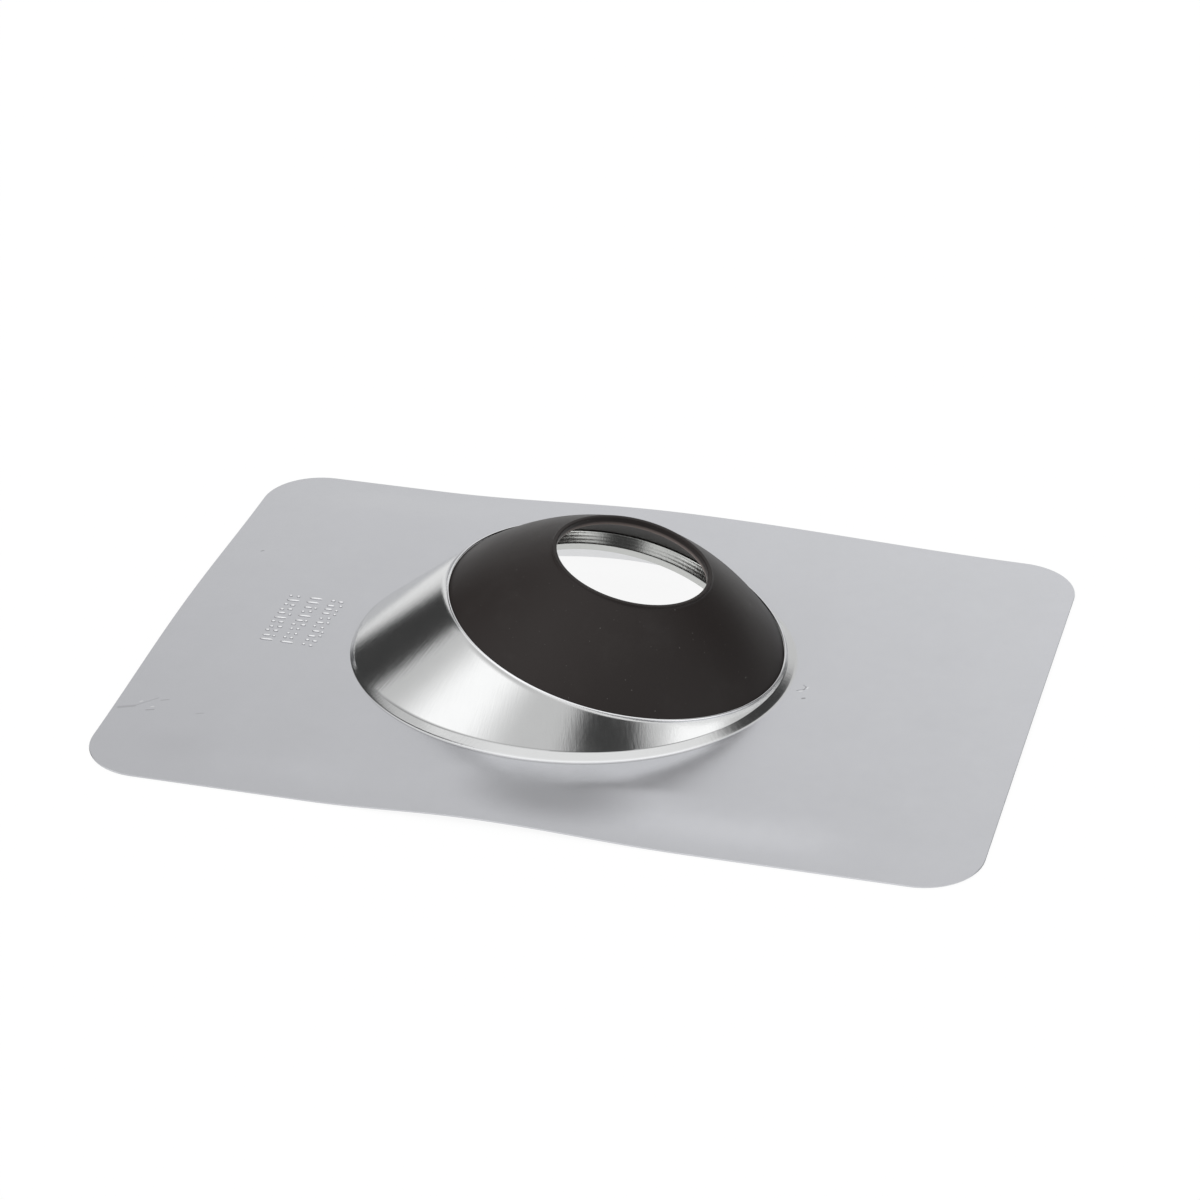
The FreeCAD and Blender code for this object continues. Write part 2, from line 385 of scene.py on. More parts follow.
@dataclass(frozen=True)
class RubberFinish:
    """Moulded black rubber: semi-matt, with dust in its grain, and a painted highlight along the seal's lower
    edge.
    """

    colour: Triple = (0.0165, 0.0125, 0.0115)
    dust_colour: Triple = (0.12, 0.115, 0.11)
    # Colour of the painted highlight on the seal's lower edge.
    seal_highlight_colour: Triple = (0.24, 0.2, 0.185)
    roughness: float = 0.46
    cloud_spread: float = 0.14
    grain_spread: float = 0.1
    specular: float = 0.28
    cloud_scale: float = 55.0
    grain_scale: float = 1900.0
    grain_depth: float = 0.00003
    fleck_scale: float = 900.0
    fleck_range: Pair = (0.76, 0.82)
    fleck_share: float = 0.55
    bloom_range: Pair = (0.5, 0.8)
    bloom_share: float = 0.05

    def make(self, name: str) -> bpy.types.Material:
        """Build the material.

        Args:
            name: the material's name.

        Returns:
            The new material.
        """
        material, shader = new_material(name)
        place = shader.place()
        cloud = shader.noise(place, self.cloud_scale, 4.0, 0.6)
        grain = shader.noise(place, self.grain_scale, 3.0, 0.6)
        flecks = shader.noise(place, self.fleck_scale, 1.0, 0.4).ramp(*self.fleck_range)
        bloom = cloud.ramp(*self.bloom_range)
        dust = (flecks * self.fleck_share + bloom * self.bloom_share).clamped()
        dusty = shader.mix(dust, rgba(self.colour), rgba(self.dust_colour))
        # Painted highlight along the seal's lower edge.
        colour = shader.mix(shader.attribute("painted_highlight"), dusty, rgba(self.seal_highlight_colour))
        roughness = self.roughness + (cloud - 0.5) * self.cloud_spread + (grain - 0.5) * self.grain_spread
        surface = shader.node(
            "ShaderNodeBsdfPrincipled",
            inputs={
                "Base Color": colour,
                "Roughness": roughness,
                "Specular IOR Level": self.specular,
                "Normal": shader.bump(grain, self.grain_depth),
            },
        )
        shader.add("ShaderNodeOutputMaterial", inputs={"Surface": surface})
        return material


# Meshes


@dataclass(frozen=True)
class Bend:
    """A corner of a section: its radius and height about the axis, and its rounding."""

    radius: float
    height: float
    rounding: float = 0.0


def arc(start: np.ndarray, end: np.ndarray, bulge: float, steps: int) -> np.ndarray:
    """Points of a circular arc.

    Args:
        start: first point, (radius, height).
        end: last point.
        bulge: how far the arc stands off its chord, to the left of the way from start to end.
        steps: how many runs it has.

    Returns:
        An array of points, both ends included.
    """
    chord = end - start
    length = float(np.hypot(*chord))
    left = np.array([-chord[1], chord[0]]) / length
    half_angle = 2 * math.atan(2 * bulge / length)
    radius = length / (2 * math.sin(half_angle))
    centre = (start + end) / 2 - left * (radius * math.cos(half_angle))
    turns = np.linspace(0.0, -2 * half_angle, steps + 1)
    cosines, sines = np.cos(turns)[:, None], np.sin(turns)[:, None]
    first = start - centre
    return centre + cosines * first + sines * np.array([-first[1], first[0]])


def rounded(bends: Sequence[Bend], steps: int = 6) -> np.ndarray:
    """Points of a section through its corners, with each rounding as an arc.

    Args:
        bends: the corners in order, of which the first and the last are sharp.
        steps: runs in each arc.

    Returns:
        An array of (radius, height) points.
    """
    corners = [np.array([bend.radius, bend.height]) for bend in bends]
    path: list[np.ndarray] = []
    for index, bend in enumerate(bends):
        corner = corners[index]
        if bend.rounding <= 0:
            path.append(corner)
            continue
        back = corners[index - 1] - corner
        ahead = corners[index + 1] - corner
        back = back / np.hypot(*back)
        ahead = ahead / np.hypot(*ahead)
        half_angle = math.acos(float(np.clip(back @ ahead, -1, 1))) / 2
        setback = bend.rounding / math.tan(half_angle)
        side = math.copysign(1.0, back[0] * ahead[1] - back[1] * ahead[0])
        bulge = side * bend.rounding * (1 - math.sin(half_angle))
        path += list(arc(corner + back * setback, corner + ahead * setback, bulge, steps))
    return np.array(path)


def refined(path: np.ndarray, longest: float) -> np.ndarray:
    """The same path with its long runs cut into shorter ones.

    Args:
        path: points of the path.
        longest: the longest run that may stay.

    Returns:
        The points, with new ones between them.
    """
    points = [path[0]]
    for start, end in zip(path[:-1], path[1:]):
        cuts = max(1, math.ceil(float(np.hypot(*(end - start))) / longest))
        points += [start + (end - start) * step / cuts for step in range(1, cuts + 1)]
    return np.array(points)


def lattice(outer: int, inner: int) -> list[tuple[int, int, int, int]]:
    """Faces between rows of points that are counted row by row.

    Args:
        outer: how many rows of faces there are.
        inner: how many faces each row has.

    Returns:
        The four corners of each face.
    """
    run = inner + 1
    firsts = [row * run + step for row in range(outer) for step in range(inner)]
    return [(first, first + run, first + run + 1, first + 1) for first in firsts]


def new_object(
    name: str, points: Sequence[Sequence[float]], faces: Sequence[Sequence[int]]
) -> bpy.types.Object:
    """Make an object and put it in the scene.

    Args:
        name: the name of the object and of its mesh.
        points: its points in metres.
        faces: the corners of each face.

    Returns:
        The new object.
    """
    data = bpy.data.meshes.new(name)
    data.from_pydata(points, [], faces)
    data.update()
    obj = bpy.data.objects.new(name, data)
    bpy.context.scene.collection.objects.link(obj)
    return obj


def store(obj: bpy.types.Object, name: str, values: np.ndarray) -> None:
    """Store a number or a vector on each point of an object, for its material.

    Args:
        obj: the object.
        name: the name that the material reads.
        values: a number or a vector for each point.
    """
    kind, part = ("FLOAT_VECTOR", "vector") if values.ndim > 1 else ("FLOAT", "value")
    layer = obj.data.attributes.new(name, kind, "POINT")
    layer.data.foreach_set(part, values.astype(np.float32).ravel())


def dress(obj: bpy.types.Object, material: bpy.types.Material) -> None:
    """Give a piece its material and slot, and fix it to the body.

    Args:
        obj: the piece.
        material: what it is made of.
    """
    obj.data.materials.append(material)
    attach(obj, ROOT_BODY)


@dataclass(frozen=True)
class Work:
    """How the press has drawn one ring of a skin, and the painted light that it carries, each from 0 to 1.

    It is drawn; painted shade marks its crease at the front, and a painted highlight lies at the front or all
    round.
    """

    drawn: float = 0.0
    painted_crease_shade: float = 0.0
    painted_front_highlight: float = 0.0
    painted_highlight: float = 0.0


@dataclass
class Skin:
    """A closed skin: rings of points that each go round the piece, the last joined to the first.

    Its draw lines fall away from fall_centre on the X axis, round an oval as narrow as stretch.
    """

    rings: list[np.ndarray] = field(default_factory=list)
    works: list[Work] = field(default_factory=list)
    fall_centre: float = -4.0
    stretch: float = 0.94
    sharp_angle: float = 38.0

    def add(self, ring: np.ndarray, work: Work = Work()) -> None:
        """Add a ring of points in millimetres, with how the press has drawn it and the painted shade and
        highlight that it carries.
        """
        self.rings.append(ring)
        self.works.append(work)

    def mesh(self, name: str) -> bpy.types.Object:
        """Make the object.

        Args:
            name: the object's name.

        Returns:
            The new object, smooth, with its sharp edges marked.
        """
        points = np.array(self.rings) * MM
        ring_count, station_count, _ = points.shape
        flat = points.reshape(-1, 3)
        fall = np.arctan2(flat[:, 1] / self.stretch, flat[:, 0] - self.fall_centre * MM)
        here = np.arange(len(flat)).reshape(ring_count, station_count)
        beside, ahead = np.roll(here, -1, axis=1), np.roll(here, -1, axis=0)
        quads = np.stack([here, beside, np.roll(beside, -1, axis=0), ahead], axis=-1).reshape(-1, 4)
        if self._volume(flat, quads) < 0:
            quads = quads[:, ::-1]
        obj = new_object(name, flat.tolist(), quads.tolist())
        along = np.cumsum(np.hypot(*np.diff(points[:, 0, 1:], axis=0, prepend=points[:1, 0, 1:]).T)) / MM
        along = np.repeat(along, station_count)
        store(obj, "around", np.column_stack([np.cos(fall), np.sin(fall), along]))
        for trait in fields(Work):
            levels = np.array([getattr(work, trait.name) for work in self.works])
            store(obj, trait.name, np.repeat(levels, station_count))
        obj.data.shade_smooth()
        obj.data.set_sharp_from_angle(angle=math.radians(self.sharp_angle))
        return obj

    @staticmethod
    def _volume(points: np.ndarray, quads: np.ndarray) -> float:
        """Six times the signed volume inside the skin.

        Args:
            points: the skin's points.
            quads: the corners of each face.

        Returns:
            The volume, below 0 where the faces look inwards.
        """
        first, second, third, fourth = (points[quads[:, k]] for k in range(4))
        total = np.einsum("ij,ij->i", first, np.cross(second, third))
        total += np.einsum("ij,ij->i", first, np.cross(third, fourth))
        return float(total.sum())


@dataclass(frozen=True)
class Seat:
    """Place of the leaning seam between cone and collar, about which the round pieces are drawn."""

    x: float = 7.4
    z: float = 20.8
    tilt_deg: float = 13.0

    def ring(self, radius: float, height: float, turns: np.ndarray) -> np.ndarray:
        """A circle about the leaning axis.

        Args:
            radius: its radius.
            height: its height along the axis from the seam.
            turns: the angle of each point.

        Returns:
            An array of points.
        """
        lean = math.radians(self.tilt_deg)
        out = radius * np.cos(turns)
        x = self.x + out * math.cos(lean) + height * math.sin(lean)
        z = self.z - out * math.sin(lean) + height * math.cos(lean)
        return np.column_stack([x, radius * np.sin(turns), z])


def thickened(outer: list[np.ndarray], thickness: float) -> list[np.ndarray]:
    """The under skin of a sheet, square to its top skin.

    Args:
        outer: rings of the top skin, from the outside in, each running round to the left.
        thickness: the sheet's thickness.

    Returns:
        Rings of the other skin, in the same order.
    """
    points = np.array(outer)
    along = np.gradient(points, axis=0)
    around = np.roll(points, -1, axis=1) - np.roll(points, 1, axis=1)
    normals = np.cross(along, around)
    normals /= np.linalg.norm(normals, axis=2, keepdims=True)
    return list(points + normals * thickness)


# The pieces


@dataclass
class FlashingBase:
    """The sheet, its flare, cone and rim, all drawn from one piece."""

    node: str = "flashing_base"
    slot: str = "galvanised_sheet"
    seat: Seat = Seat()
    length: float = 317.5
    width: float = 228.6
    corner_radius: float = 22.0
    thickness: float = 0.55
    edge_break: float = 0.12
    platform_rise: float = 3.45
    back_edge_rise: float = 3.7
    front_edge_rise: float = 2.2
    left_edge_rise: float = 2.6
    right_edge_rise: float = 0.4
    back_arch: Triple = (4.0, 98.0, 142.0)
    front_arch: Triple = (-13.0, 60.0, 74.0)
    side_arch_reach: float = 100.0
    platform_margin: float = 20.0
    near_margin: float = 5.0
    cone_x: float = -9.0
    cone_length: float = 163.0
    cone_width: float = 154.0
    foot_tuck: float = 2.8
    flare_downhill: float = 1.3
    flare_uphill: float = 3.8
    flare_sides: float = 5.0
    flare_height: float = 1.8
    flare_bend: float = 4.2
    flare_setback: float = 0.9
    flare_swell: int = 3
    flare_run: float = 0.45
    # Painted shade on the flare's inner and outer creases, and the reach of the painted highlight at its
    # bend.
    inner_crease_shade: float = 0.8
    outer_crease_shade: float = 0.45
    outer_crease_at: float = 0.25
    outer_crease_reach: float = 0.6
    front_highlight_reach: float = 0.95
    # Painted reflection: the drawn cone's inside is lightened, for the white floor that it would mirror.
    painted_inside_reflection: float = 0.8
    rim_radius: float = 62.4
    rim_height: float = 0.6
    rim_bend: float = 0.45
    rim_lip: float = 0.1
    station_run: float = 3.4
    corner_stations: int = 15
    sheet_rings: int = 30
    wall_rings: int = 14
    first_wall_share: float = 0.03
    finish: ZincFinish = ZincFinish(
        # Painted shade in front of the cone, for its dark reflection in the sheet.
        shade=Shade((9.0, -93.0), (40.0, 22.0), 0.36),
        marks=(
            Mark((-156.5, -72.8), (-151.5, -71.0), 1.3, 0.35),
            Mark((-151.0, -70.5), (-144.5, -64.5), 0.5, 0.3),
            Mark((-146.0, -73.0), (-143.5, -72.4), 0.7, 0.45),
            Mark((-143.0, -66.0), (-140.5, -65.2), 0.6, 0.35),
            Mark((-127.0, -73.5), (-124.6, -72.9), 0.5, 0.3),
            Mark((-144.4, 47.3), (-143.8, 47.8), 0.7, 0.5),
            Mark((74.9, -5.3), (77.2, -4.2), 0.45, 0.6),
            Mark((77.2, -4.2), (77.6, -2.2), 0.45, 0.6),
            Mark((77.6, -2.2), (76.4, -1.1), 0.45, 0.5),
            Mark((78.0, -10.3), (78.6, -10.0), 0.8, 0.8),
        ),
        # Painted highlights: bright points on the scratches and nicks.
        painted_highlights=(
            Mark((75.9, -5.6), (76.7, -5.2), 0.5, 0.9),
            Mark((78.0, -3.0), (78.3, -2.4), 0.5, 0.9),
            Mark((-150.2, -67.8), (-149.6, -67.4), 0.5, 0.8),
            Mark((-145.0, -70.6), (-144.3, -70.4), 0.5, 0.8),
        ),
    )

    def outline(self, inset: float = 0.0) -> np.ndarray:
        """Points round the sheet's edge.

        Args:
            inset: how far inside the edge they lie.

        Returns:
            An array of (x, y) points, the same stations for every inset.
        """
        half = np.array([self.length / 2, self.width / 2])
        radius = self.corner_radius - inset
        points: list[np.ndarray] = []
        signs = ((1, 1), (-1, 1), (-1, -1), (1, -1))
        for index, sign in enumerate(signs):
            centre = (half - self.corner_radius) * np.array(sign)
            last = (index + 1) * math.pi / 2
            for turn in np.linspace(index * math.pi / 2, last, self.corner_stations):
                points.append(centre + radius * np.array([math.cos(turn), math.sin(turn)]))
            following = (half - self.corner_radius) * np.array(signs[(index + 1) % 4])
            end = following + radius * np.array([math.cos(last), math.sin(last)])
            start = points[-1]
            cuts = max(2, round(float(np.hypot(*(following - centre))) / self.station_run))
            points += [start + (end - start) * step / cuts for step in range(1, cuts)]
        return np.array(points)

    @staticmethod
    def _arch(place: np.ndarray, shape: Triple, rise: float) -> np.ndarray:
        """Height of a sprung edge, a smooth arch.

        Args:
            place: places along the edge.
            shape: where its top is, and how far it reaches down and up the roof from there.
            rise: how high its top is.

        Returns:
            The height at each place.
        """
        middle, down, up = shape
        reach = np.where(place > middle, up, down)
        share = np.minimum(np.abs(place - middle) / reach, 1.0)
        return rise * np.cos(share * math.pi / 2) ** 2

    @staticmethod
    def _smooth(share: np.ndarray) -> np.ndarray:
        """A share held between 0 and 1, with a soft start and end."""
        held = np.clip(share, 0.0, 1.0)
        return held**2 * (3 - 2 * held)

    def height(self, x: np.ndarray, y: np.ndarray) -> np.ndarray:
        """Height of the sheet's underside: flat round the cone, bowed at its edges, down at its corners.

        Args:
            x: places along the sheet.
            y: places across it.

        Returns:
            The height at each place.
        """
        half_length, half_width = self.length / 2, self.width / 2
        reach = self.side_arch_reach
        back = self._arch(x, self.back_arch, self.back_edge_rise)
        front = self._arch(x, self.front_arch, self.front_edge_rise)
        left = self._arch(y, (0.0, reach, reach), self.left_edge_rise)
        right = self._arch(y, (0.0, reach, reach), self.right_edge_rise)
        to_back = (y / half_width + 1) / 2
        to_right = (x / half_length + 1) / 2
        edges = back * to_back + front * (1 - to_back) + right * to_right + left * (1 - to_right)
        inside_x = np.where(
            x > self.cone_x,
            (half_length - x) / (half_length - self.cone_x - self.cone_length / 2 - self.near_margin),
            (half_length + x) / (half_length + self.cone_x - self.cone_length / 2 - self.platform_margin),
        )
        inside_y = (half_width - np.abs(y)) / (half_width - self.cone_width / 2 - self.near_margin)
        share = self._smooth(inside_x) * self._smooth(inside_y)
        return self.platform_rise * share + edges * (1 - share)

    def oval(self, distance: float, height: float, turns: np.ndarray) -> np.ndarray:
        """A ring of the flare, between the cone's oval foot and the foot of its wall.

        The foot is tucked in and the flare grows narrower towards the downhill end.

        Args:
            distance: how far the ring is from the wall's foot, at the cone's side.
            height: the ring's height.
            turns: the angle of each point.

        Returns:
            An array of points.
        """
        flare_share = 1.0 - distance / self.flare_sides
        downhill = (1.0 - np.cos(turns)) / 2
        ends = self.flare_uphill + (self.flare_downhill - self.flare_uphill) * downhill
        reach = ends + (self.flare_sides - ends) * np.abs(np.sin(turns)) ** self.flare_swell
        along = self.cone_length / 2 - reach * flare_share
        across = self.cone_width / 2 - self.foot_tuck * downhill - reach * flare_share
        level = np.full_like(turns, height)
        return np.column_stack([self.cone_x + along * np.cos(turns), across * np.sin(turns), level])

    def top_skin(self, turns: np.ndarray) -> Skin:
        """The top skin, from the sheet's edge to the rim's lip.

        Args:
            turns: the angle of each point round the cone.

        Returns:
            The skin, still open below.
        """
        skin = Skin()
        edge = self.outline(self.edge_break)
        inner = self.oval(self.flare_sides + self.flare_setback, 0.0, turns)[:, :2]
        for step in range(self.sheet_rings):
            flat = edge + (inner - edge) * (step / self.sheet_rings)
            level = self.height(flat[:, 0], flat[:, 1]) + self.thickness
            skin.add(np.column_stack([flat, level]))
        top = self.platform_rise + self.thickness
        bend_at = self.flare_sides - self.flare_setback
        flare = rounded([
            Bend(self.flare_sides + self.flare_setback, top),
            Bend(bend_at, top, self.flare_bend),
            Bend(0.0, top + self.flare_height),
        ])
        # Each ring of the flare carries its painted crease shade and its painted bend highlight.
        for distance, level in refined(flare, self.flare_run):
            skin.add(self.oval(distance, level, turns), self._flare_work(distance, bend_at))
        foot = skin.rings[-1]
        rim_foot = self.seat.ring(self.rim_radius, self.thickness - self.rim_height, turns)
        shares = [self.first_wall_share] + [step / self.wall_rings for step in range(1, self.wall_rings + 1)]
        for share in shares:
            skin.add(foot + (rim_foot - foot) * share, Work(drawn=1.0))
        rim = rounded([
            Bend(self.rim_radius, self.thickness - self.rim_height),
            Bend(self.rim_radius, self.thickness, self.rim_bend),
            Bend(self.rim_radius - self.rim_bend - self.rim_lip, self.thickness),
        ])
        # The rim's rolled edge carries a painted highlight all round.
        for radius, level in rim[1:]:
            skin.add(self.seat.ring(radius, level, turns), Work(drawn=1.0, painted_highlight=1.0))
        return skin

    def _flare_work(self, distance: float, bend_at: float) -> Work:
        """How a ring of the flare is drawn, with painted shade along both its edges and a painted highlight
        at its bend.

        Args:
            distance: how far the ring is from the wall's foot, at the cone's side.
            bend_at: where the bend is, in the same measure.

        Returns:
            The work on the ring.
        """
        drawn = float(np.clip(self.flare_sides - distance, 0.0, 1.0))
        # Painted shade just outside the flare's outer edge, and at the wall's foot.
        beside = abs(distance - self.flare_sides - self.outer_crease_at) / self.outer_crease_reach
        painted_crease_shade = max(0.0, 1.0 - beside) * self.outer_crease_shade
        if distance < self.flare_run / 2:
            painted_crease_shade = self.inner_crease_shade
        return Work(drawn, painted_crease_shade, max(0.0, 1.0 - abs(distance - bend_at) / self.front_highlight_reach))

    def build(self) -> bpy.types.Object:
        """Make the piece, dress it and put it in place of its solid.

        Returns:
            The new object.
        """
        edge = self.outline()
        ratio = self.cone_width / self.cone_length
        turns = np.arctan2(edge[:, 1] / ratio, edge[:, 0] - self.cone_x)
        skin = self.top_skin(turns)
        under = thickened(skin.rings, self.thickness)
        # The underside carries the painted reflection as a share of the painted highlight.
        for ring, work in zip(under[::-1], skin.works[::-1]):
            skin.add(ring, Work(work.drawn, painted_highlight=work.drawn * self.painted_inside_reflection))
        for drop in (self.thickness - self.edge_break, self.edge_break):
            skin.add(np.column_stack([edge, skin.rings[0][:, 2] - drop]))
        obj = skin.mesh("flashing_base_skin")
        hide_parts(self.node)
        dress(obj, self.finish.make("galvanised_sheet"))
        return obj


@dataclass
class StampedRows:
    """Rows of short raised strokes stamped into the sheet, running across it, with no characters; each has a
    painted dark shadow side at its front foot and a painted highlight on the rest.
    """

    base: FlashingBase
    row_places: tuple[float, ...] = (-119.8, -111.8, -103.6)
    row_start: float = 14.5
    row_end: float = -18.5
    pitch: float = 3.3
    stroke_width: float = 1.35
    stroke_height: float = 0.42
    scatter: float = 0.4
    seed: int = 5
    steps_along: int = 10
    steps_across: int = 8
    # Points across a stroke from this row on take the painted highlight; the front foot keeps the painted
    # dark shadow colour.
    bright_from: int = 2
    patterns: tuple[tuple[Pair, ...], ...] = (
        ((0.0, 5.2),),
        ((-1.6, 1.7), (1.5, 2.1)),
        ((-1.9, 1.3), (0.9, 1.4)),
        ((-0.8, 3.2), (2.2, 1.2)),
    )
    # Painted shadow: the dark sheet colour marks each stroke's front foot.
    finish: ZincFinish = ZincFinish(sheet_colour=(0.3, 0.3, 0.32), sheet_roughness=0.18)

    def _stroke(self, x: float, y: float, length: float) -> np.ndarray:
        """Points of one stroke, a low round ridge, in millimetres.

        Args:
            x: its middle along the sheet.
            y: its middle across the sheet.
            length: its length along the sheet.

        Returns:
            The points, in rows across the stroke.
        """
        along, across = np.meshgrid(
            np.linspace(-1, 1, self.steps_along + 1), np.linspace(-1, 1, self.steps_across + 1), indexing="ij"
        )
        swell = np.sqrt(1 - along**4)
        place_x = x + along * length / 2
        place_y = y + across * swell * self.stroke_width / 2
        ground = self.base.height(place_x, place_y) + self.base.thickness
        bulge = self.stroke_height * swell * np.cos(across * math.pi / 2)
        return np.stack([place_x, place_y, ground + bulge], axis=-1).reshape(-1, 3)

    def build(self) -> bpy.types.Object:
        """Make every stroke in one object.

        Returns:
            The new object.
        """
        chance = random.Random(self.seed)
        strokes: list[np.ndarray] = []
        count = round((self.row_start - self.row_end) / self.pitch)
        for row_x in self.row_places:
            for index in range(count + 1):
                y = self.row_start - index * self.pitch
                for offset, length in chance.choice(self.patterns):
                    x = row_x + offset + chance.uniform(-self.scatter, self.scatter)
                    place_y = y + chance.uniform(-self.scatter, self.scatter)
                    strokes.append(self._stroke(x, place_y, length))
        points = np.concatenate(strokes)
        firsts = np.arange(len(strokes)) * len(strokes[0])
        faces = firsts[:, None, None] + np.array(lattice(self.steps_along, self.steps_across))
        obj = new_object("stamped_rows", (points * MM).tolist(), faces.reshape(-1, 4).tolist())
        # Painted highlight on each stroke's crest and back.
        side_step = np.arange(len(points)) % (self.steps_across + 1)
        store(obj, "painted_highlight", (side_step >= self.bright_from).astype(float))
        obj.data.shade_smooth()
        dress(obj, self.finish.make("stamped_zinc"))
        return obj


@dataclass
class BackingRing:
    """The pressed steel ring that holds the collar's edge up under the rim."""

    node: str = "backing_ring"
    slot: str = "galvanised_ring"
    seat: Seat = Seat()
    thickness: float = 0.6
    bore_radius: float = 61.85
    top: float = -0.4
    flat: float = 1.5
    rolled_radius: float = 48.6
    rolled_height: float = 5.67
    funnel_radius: float = 46.3
    funnel_height: float = 1.0
    lower_radius: float = 46.5
    lower_height: float = -1.4
    flat_bend: float = 0.3
    rolled_bend: float = 0.5
    funnel_bend: float = 1.6
    section_run: float = 0.2
    stations: int = 192
    flute_setback: float = 0.4
    flute_depth: float = 0.006
    flute_pitch: float = 1.15
    finish: ZincFinish = ZincFinish(drawn_colour=(0.72, 0.73, 0.71))

    def section(self) -> np.ndarray:
        """Points of the ring's upper face: a flat, a cone, a rolled edge and a funnel with fine flutes.

        Returns:
            An array of (radius, height) points.
        """
        bends = [
            Bend(self.bore_radius, self.top),
            Bend(self.bore_radius - self.flat, self.top, self.flat_bend),
            Bend(self.rolled_radius, self.rolled_height, self.rolled_bend),
            Bend(self.funnel_radius, self.funnel_height, self.funnel_bend),
            Bend(self.lower_radius, self.lower_height),
        ]
        path = refined(rounded(bends), self.section_run)
        inside = (path[:, 0] < self.rolled_radius - self.flute_setback) & (path[:, 1] > self.funnel_height)
        flutes = self.flute_depth * np.cos(path[:, 1] * 2 * math.pi / self.flute_pitch)
        path[:, 0] += np.where(inside, flutes, 0.0)
        return path

    def build(self) -> bpy.types.Object:
        """Make the piece, dress it and put it in place of its solid.

        Returns:
            The new object.
        """
        turns = np.linspace(0, 2 * math.pi, self.stations, endpoint=False)
        top = [self.seat.ring(radius, level, turns) for radius, level in self.section()]
        skin = Skin()
        for ring in top + thickened(top, self.thickness)[::-1]:
            skin.add(ring, Work(drawn=1.0))
        obj = skin.mesh("backing_ring_skin")
        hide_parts(self.node)
        dress(obj, self.finish.make("galvanised_ring"))
        return obj


@dataclass
class PipeCollar:
    """The moulded collar: an edge under the rim, a gently bulging skirt, a neck and a lip."""

    node: str = "pipe_collar"
    slot: str = "collar_rubber"
    seat: Seat = Seat()
    edge_radius: float = 61.7
    edge_thickness: float = 0.4
    skirt_radius: float = 61.6
    skirt_bulge: float = 1.8
    height: float = 25.3
    neck_height: float = 0.9
    neck_fillet: float = 1.0
    hole_radius: float = 27.6
    seal_length: float = 3.2
    seal_thickness: float = 1.7
    seal_rounding: float = 0.45
    seal_foot_rounding: float = 0.3
    seal_highlight_reach: float = 0.37
    undercut: Pair = (2.8, 1.3)
    undercut_rounding: float = 0.8
    inner_foot_radius: float = 49.1
    inner_foot_rounding: float = 0.4
    ring_cone_start: float = 60.35
    ring_inner_radius: float = 46.8
    ring_rise: float = 7.0
    skirt_steps: int = 24
    section_run: float = 2.5
    stations: int = 240
    finish: RubberFinish = RubberFinish()

    def section(self) -> np.ndarray:
        """Points of the collar's section, round from its edge.

        Returns:
            An array of (radius, height) points.
        """
        neck_radius = self.hole_radius + self.seal_thickness
        foot = np.array([self.skirt_radius, 0.0])
        top = np.array([neck_radius, self.height - self.neck_height])
        skirt = arc(foot, top, -self.skirt_bulge, self.skirt_steps)
        seal_foot = self.height - self.seal_length
        slope = self.ring_rise / (self.ring_cone_start - self.ring_inner_radius)
        inner_foot = (self.ring_cone_start - self.inner_foot_radius) * slope - self.edge_thickness
        bends = [Bend(self.edge_radius, 0.0)]
        bends += [Bend(float(radius), float(level)) for radius, level in skirt[:-1]]
        bends += [
            Bend(float(top[0]), float(top[1]), self.neck_fillet),
            Bend(neck_radius, self.height, self.seal_rounding),
            Bend(self.hole_radius, self.height, self.seal_rounding),
            Bend(self.hole_radius, seal_foot, self.seal_foot_rounding),
            Bend(self.hole_radius + self.undercut[0], seal_foot - self.undercut[1], self.undercut_rounding),
            Bend(self.inner_foot_radius, inner_foot, self.inner_foot_rounding),
            Bend(self.ring_cone_start, -self.edge_thickness),
            Bend(self.edge_radius, -self.edge_thickness),
        ]
        return refined(rounded(bends), self.section_run)

    def _on_seal_edge(self, radius: float, level: float) -> bool:
        """Whether a point of the section is on the seal's lower edge, which carries a painted highlight."""
        above_foot = level - (self.height - self.seal_length)
        return abs(above_foot) < self.seal_highlight_reach and radius < self.hole_radius + self.seal_highlight_reach

    def build(self) -> bpy.types.Object:
        """Make the piece, dress it and put it in place of its solid.

        Returns:
            The new object.
        """
        turns = np.linspace(0, 2 * math.pi, self.stations, endpoint=False)
        skin = Skin()
        for radius, level in self.section():
            # The seal's lower edge gets a painted highlight.
            pale = float(self._on_seal_edge(radius, level))
            skin.add(self.seat.ring(radius, level, turns), Work(painted_highlight=pale))
        obj = skin.mesh("pipe_collar_skin")
        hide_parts(self.node)
        dress(obj, self.finish.make("collar_rubber"))
        return obj


# The studio


def direction(azimuth: float, elevation: float) -> Vector:
    """The way to a place round the object. Azimuth 0 is at the front, and angles are in degrees."""
    turn, rise = math.radians(azimuth), math.radians(elevation)
    return Vector((math.sin(turn) * math.cos(rise), -math.cos(turn) * math.cos(rise), math.sin(rise)))


class Glow(Enum):
    """How bright a card looks in the object's reflections."""

    DARK = 0.05
    SKY = 0.95
    BRIGHT = 1.3


